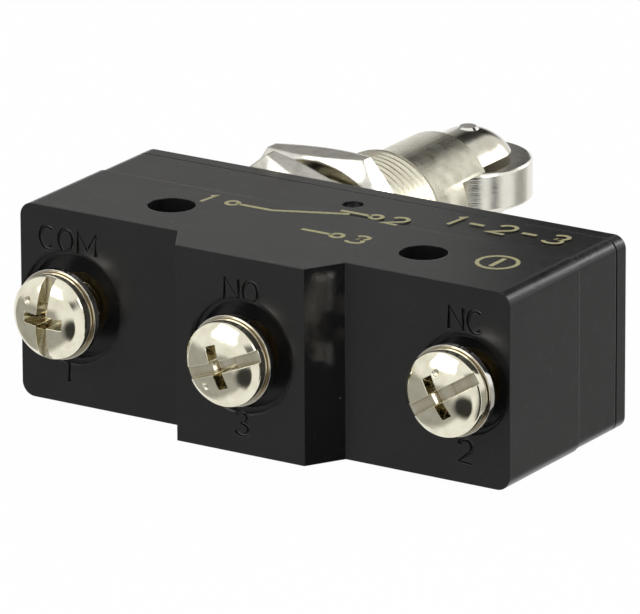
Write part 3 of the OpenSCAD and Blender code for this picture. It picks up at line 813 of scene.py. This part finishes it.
def make_world():
    """White to the camera and in reflections, a plain soft level as light."""
    world = bpy.data.worlds.new("studio")
    bpy.context.scene.world = world
    world.use_nodes = True
    tree = world.node_tree
    path = tree.nodes.new("ShaderNodeLightPath")
    seen = tree.nodes.new("ShaderNodeMath")
    seen.operation = "ADD"
    seen.use_clamp = True
    tree.links.new(path.outputs["Is Camera Ray"], seen.inputs[0])
    tree.links.new(path.outputs["Is Glossy Ray"], seen.inputs[1])
    either = tree.nodes.new("ShaderNodeMath")
    either.operation = "ADD"
    either.use_clamp = True
    tree.links.new(seen.outputs["Value"], either.inputs[0])
    tree.links.new(path.outputs["Is Transmission Ray"], either.inputs[1])
    level = tree.nodes.new("ShaderNodeMapRange")
    level.inputs["To Min"].default_value = WORLD_LIGHT
    level.inputs["To Max"].default_value = 1.0
    tree.links.new(either.outputs["Value"], level.inputs["Value"])
    back = tree.nodes["Background"]
    back.inputs["Color"].default_value = rgb(1, 1, 1)
    tree.links.new(level.outputs["Result"], back.inputs["Strength"])


def pointing(place, target):
    """Matrix of something at place whose -Z looks at target, both in millimetres."""
    turn = (Vector(target) - Vector(place)).to_track_quat("-Z", "Y").to_matrix().to_4x4()
    return Matrix.Translation(Vector(place) * MM) @ turn


def make_lamp(name, place, size, power):
    data = bpy.data.lights.new(name, "AREA")
    data.shape = "RECTANGLE"
    data.size, data.size_y = size[0] * MM, size[1] * MM
    data.energy = power
    lamp = bpy.data.objects.new(name, data)
    lamp.matrix_world = pointing(place, STAGE_CENTRE)
    bpy.context.scene.collection.objects.link(lamp)


def around(bearing, rise):
    """Place far from the switch, by its angle from +Y towards +X and its rise, in degrees."""
    level = CARD_DISTANCE * math.cos(math.radians(rise))
    return (
        level * math.sin(math.radians(bearing)),
        level * math.cos(math.radians(bearing)),
        MID_Z + CARD_DISTANCE * math.sin(math.radians(rise)),
    )


def make_card(name, place, size, glow, softness, oval=False):
    """Grey card outside the picture, seen only in reflections, as a photographer hangs for contrast."""
    bm = bmesh.new()
    bmesh.ops.create_grid(bm, x_segments=1, y_segments=1, size=0.5)
    bmesh.ops.scale(bm, vec=(size[0], size[1], 1), verts=bm.verts)
    card = new_object(name, bm)
    card.matrix_world = pointing(place, STAGE_CENTRE)
    s = Shader(name)
    tree = s.tree
    parts = s.node("ShaderNodeSeparateXYZ")
    tree.links.new(s.node("ShaderNodeTexCoord").outputs["Generated"], parts.inputs["Vector"])
    out = [s.math("ABSOLUTE", s.math("SUBTRACT", parts.outputs[axis], 0.5), 0.0) for axis in "XY"]
    if oval:
        squares = [s.math("MULTIPLY", o, o) for o in out]
        out = [s.math("SQRT", s.math("ADD", *squares), 0.0)]
    cover = 1.0
    for o in out:
        ramp = s.node("ShaderNodeMapRange", interpolation_type="SMOOTHSTEP")
        tree.links.new(o, ramp.inputs["Value"])
        ramp.inputs["From Min"].default_value = 0.5
        ramp.inputs["From Max"].default_value = 0.5 - softness / 2
        cover = s.math("MULTIPLY", ramp.outputs["Result"], cover)
    shine = s.node("ShaderNodeEmission")
    shine.inputs["Color"].default_value = rgb(glow, glow * 0.985, glow * 0.95)
    clear = s.node("ShaderNodeBsdfTransparent")
    blend = s.node("ShaderNodeMixShader")
    tree.links.new(cover, blend.inputs["Fac"])
    tree.links.new(clear.outputs["BSDF"], blend.inputs[1])
    tree.links.new(shine.outputs["Emission"], blend.inputs[2])
    tree.links.new(blend.outputs["Shader"], tree.nodes["Material Output"].inputs["Surface"])
    card.data.materials.append(s.material)
    for kind in ("camera", "diffuse", "transmission", "shadow"):
        setattr(card, "visible_" + kind, False)


def make_stage():
    make_floor()
    make_world()
    make_lamp("key", (-225, -520, 400), (520, 420), 1.5)
    make_lamp("back", (160, 420, 160), (160, 120), 0.3)
    make_lamp("fill", (420, -60, 260), (200, 200), 0.35)
    make_card("card_behind_roller", (-28, 100, 39), (34, 56), 0.03, 0.6)
    make_card("card_behind_case", (22, 100, 95), (90, 50), 0.01, 0.4)
    make_card("card_back_left", around(-50, 36), (980, 900), 0.34, 0.4)
    make_card("card_low_right", around(36, -18), (560, 560), 0.42, 0.5)
    make_card("card_beside_screw", (45, -13, 1), (30, 50), 0.01, 0.3)
    make_card("card_front_left", around(-130, -27), (1500, 820), 0.42, 0.3)
    make_card("card_front_right", around(166, -27), (520, 560), 0.04, 0.5, True)
    make_card("card_right", around(96, -12), (340, 700), 0.04, 0.9)
    make_card("card_front_high", around(148, 20), (440, 360), 0.15, 0.8, True)


# Camera

CAMERA_AZIMUTH = 32.62
CAMERA_ELEVATION = 17.97
CAMERA_ROLL = -0.24
CAMERA_DISTANCE = 801.04
CAMERA_LENS = 530.5
SENSOR_WIDTH = 36.0
AIM = Vector((2.333, 0.0, 10.87))


def make_camera():
    azimuth = math.radians(CAMERA_AZIMUTH)
    elevation = math.radians(CAMERA_ELEVATION)
    roll = math.radians(CAMERA_ROLL)
    reach = math.cos(elevation)
    back = Vector((math.sin(azimuth) * reach, -math.cos(azimuth) * reach, math.sin(elevation)))
    level = Vector((math.cos(azimuth), math.sin(azimuth), 0))
    upright = back.cross(level)
    right = level * math.cos(roll) + upright * math.sin(roll)
    up = upright * math.cos(roll) - level * math.sin(roll)
    data = bpy.data.cameras.new("camera")
    data.lens = CAMERA_LENS
    data.sensor_width = SENSOR_WIDTH
    data.clip_start, data.clip_end = 0.05, 10.0
    camera = bpy.data.objects.new("camera", data)
    axes = Matrix((right, up, back)).transposed().to_4x4()
    camera.matrix_world = Matrix.Translation((AIM + back * CAMERA_DISTANCE) * MM) @ axes
    bpy.context.scene.collection.objects.link(camera)
    bpy.context.scene.camera = camera


make_camera()
make_stage()
dress_cad_pieces()
make_case()
make_bushing()
for name in TERMINALS:
    make_screw(name)
make_print()
make_springs()

bpy.context.scene.view_settings.view_transform = "Standard"
